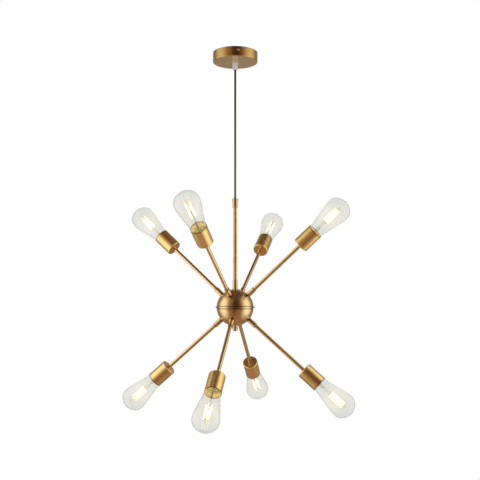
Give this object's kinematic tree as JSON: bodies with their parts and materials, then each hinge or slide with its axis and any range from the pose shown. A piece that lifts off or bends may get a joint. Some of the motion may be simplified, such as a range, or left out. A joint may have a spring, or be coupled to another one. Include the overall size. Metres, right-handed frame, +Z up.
{
  "type": "sputnik chandelier",
  "caption": "Ceiling chandelier on a cord: a central ball carries two rings of radiating arms, each with a cup socket and a clear filament lamp.",
  "frame": {"origin": "on the ceiling plane, at the centre of the bracket and on the line of the cord", "axes": "+Z up towards the ceiling, -Y towards the viewer in the picture, +X to the right"},
  "size_m": [0.5944, 0.5944, 0.9405],
  "materials": {
    "brushed_brass": "brushed antique brass",
    "zinc_steel": "zinc plated",
    "dark_screw": "blackened",
    "clear_nylon": "translucent",
    "white_plastic": "moulded",
    "cord_sheath": "satin sheath",
    "lead_sheath": "satin sheath",
    "holder_resin": "moulded",
    "lamp_cap": "rolled thread",
    "clear_glass": "clear",
    "filament": "glowing"
  },
  "bodies": {
    "ceiling": {"ceiling_bracket": "zinc_steel", "canopy": "brushed_brass", "canopy_side_screws": "brushed_brass", "cord_grip": "clear_nylon", "grip_nut": "zinc_steel", "terminal_block": "white_plastic", "cord_tail": "cord_sheath"},
    "cord": {"pendant_cord": "cord_sheath"},
    "stem_cap": {"stem_cap": "brushed_brass", "stem_cap_screws": "dark_screw", "stem_cap_nut": "brushed_brass"},
    "pendant": {"stem_tube": "brushed_brass", "stem_lead": "cord_sheath", "neck_collar": "brushed_brass", "ball_upper_shell": "brushed_brass", "ball_lower_shell": "brushed_brass", "ball_band": "brushed_brass", "band_screws": "dark_screw", "centre_nipple": "zinc_steel", "nipple_nuts": "zinc_steel", "wire_junction": "white_plastic", "lamp_leads": "lead_sheath", "finial": "brushed_brass", "upper_arm_tubes": "brushed_brass", "lower_arm_tubes": "brushed_brass", "arm_collars": "brushed_brass", "arm_lock_nuts": "zinc_steel", "lampholders": "holder_resin", "socket_cup_1": "brushed_brass", "socket_cup_2": "brushed_brass", "socket_cup_3": "brushed_brass", "socket_cup_4": "brushed_brass", "socket_cup_5": "brushed_brass", "socket_cup_6": "brushed_brass", "socket_cup_7": "brushed_brass", "socket_cup_8": "brushed_brass"},
    "bulb_1": {"bulb_cap_1": "lamp_cap", "bulb_glass_1": "clear_glass", "bulb_filament_1": "filament"},
    "bulb_2": {"bulb_cap_2": "lamp_cap", "bulb_glass_2": "clear_glass", "bulb_filament_2": "filament"},
    "bulb_3": {"bulb_cap_3": "lamp_cap", "bulb_glass_3": "clear_glass", "bulb_filament_3": "filament"},
    "bulb_4": {"bulb_cap_4": "lamp_cap", "bulb_glass_4": "clear_glass", "bulb_filament_4": "filament"},
    "bulb_5": {"bulb_cap_5": "lamp_cap", "bulb_glass_5": "clear_glass", "bulb_filament_5": "filament"},
    "bulb_6": {"bulb_cap_6": "lamp_cap", "bulb_glass_6": "clear_glass", "bulb_filament_6": "filament"},
    "bulb_7": {"bulb_cap_7": "lamp_cap", "bulb_glass_7": "clear_glass", "bulb_filament_7": "filament"},
    "bulb_8": {"bulb_cap_8": "lamp_cap", "bulb_glass_8": "clear_glass", "bulb_filament_8": "filament"}
  },
  "joints": [
    {"name": "cord_swing", "type": "hinge", "parent": "ceiling", "child": "cord", "pos_m": [0, 0, -0.0455], "axis": [0, 1, 0], "range_deg": [-20, 20]},
    {"name": "stem_swing", "type": "hinge", "parent": "cord", "child": "stem_cap", "pos_m": [0, 0, -0.3865], "axis": [1, 0, 0], "range_deg": [-20, 20]},
    {"name": "pendant_turn", "type": "hinge", "parent": "stem_cap", "child": "pendant", "pos_m": [0, 0, -0.4021], "axis": [0, 0, 1], "range_deg": [-180, 180]},
    {"name": "bulb_1_unscrew", "type": "hinge", "parent": "pendant", "child": "bulb_1", "pos_m": [0.207, -0.08958, -0.4712], "axis": [0.69, -0.2986, 0.6593], "range_deg": [0, 1620]},
    {"name": "bulb_2_unscrew", "type": "hinge", "parent": "pendant", "child": "bulb_2", "pos_m": [0.08958, 0.207, -0.4712], "axis": [0.2986, 0.69, 0.6593], "range_deg": [0, 1620]},
    {"name": "bulb_3_unscrew", "type": "hinge", "parent": "pendant", "child": "bulb_3", "pos_m": [-0.207, 0.08958, -0.4712], "axis": [-0.69, 0.2986, 0.6593], "range_deg": [0, 1620]},
    {"name": "bulb_4_unscrew", "type": "hinge", "parent": "pendant", "child": "bulb_4", "pos_m": [-0.08958, -0.207, -0.4712], "axis": [-0.2986, -0.69, 0.6593], "range_deg": [0, 1620]},
    {"name": "bulb_5_unscrew", "type": "hinge", "parent": "pendant", "child": "bulb_5", "pos_m": [0.21923, -0.05304, -0.8668], "axis": [0.7308, -0.1768, -0.6593], "range_deg": [0, 1620]},
    {"name": "bulb_6_unscrew", "type": "hinge", "parent": "pendant", "child": "bulb_6", "pos_m": [0.05304, 0.21923, -0.8668], "axis": [0.1768, 0.7308, -0.6593], "range_deg": [0, 1620]},
    {"name": "bulb_7_unscrew", "type": "hinge", "parent": "pendant", "child": "bulb_7", "pos_m": [-0.21923, 0.05304, -0.8668], "axis": [-0.7308, 0.1768, -0.6593], "range_deg": [0, 1620]},
    {"name": "bulb_8_unscrew", "type": "hinge", "parent": "pendant", "child": "bulb_8", "pos_m": [-0.05304, -0.21923, -0.8668], "axis": [-0.1768, -0.7308, -0.6593], "range_deg": [0, 1620]}
  ]
}
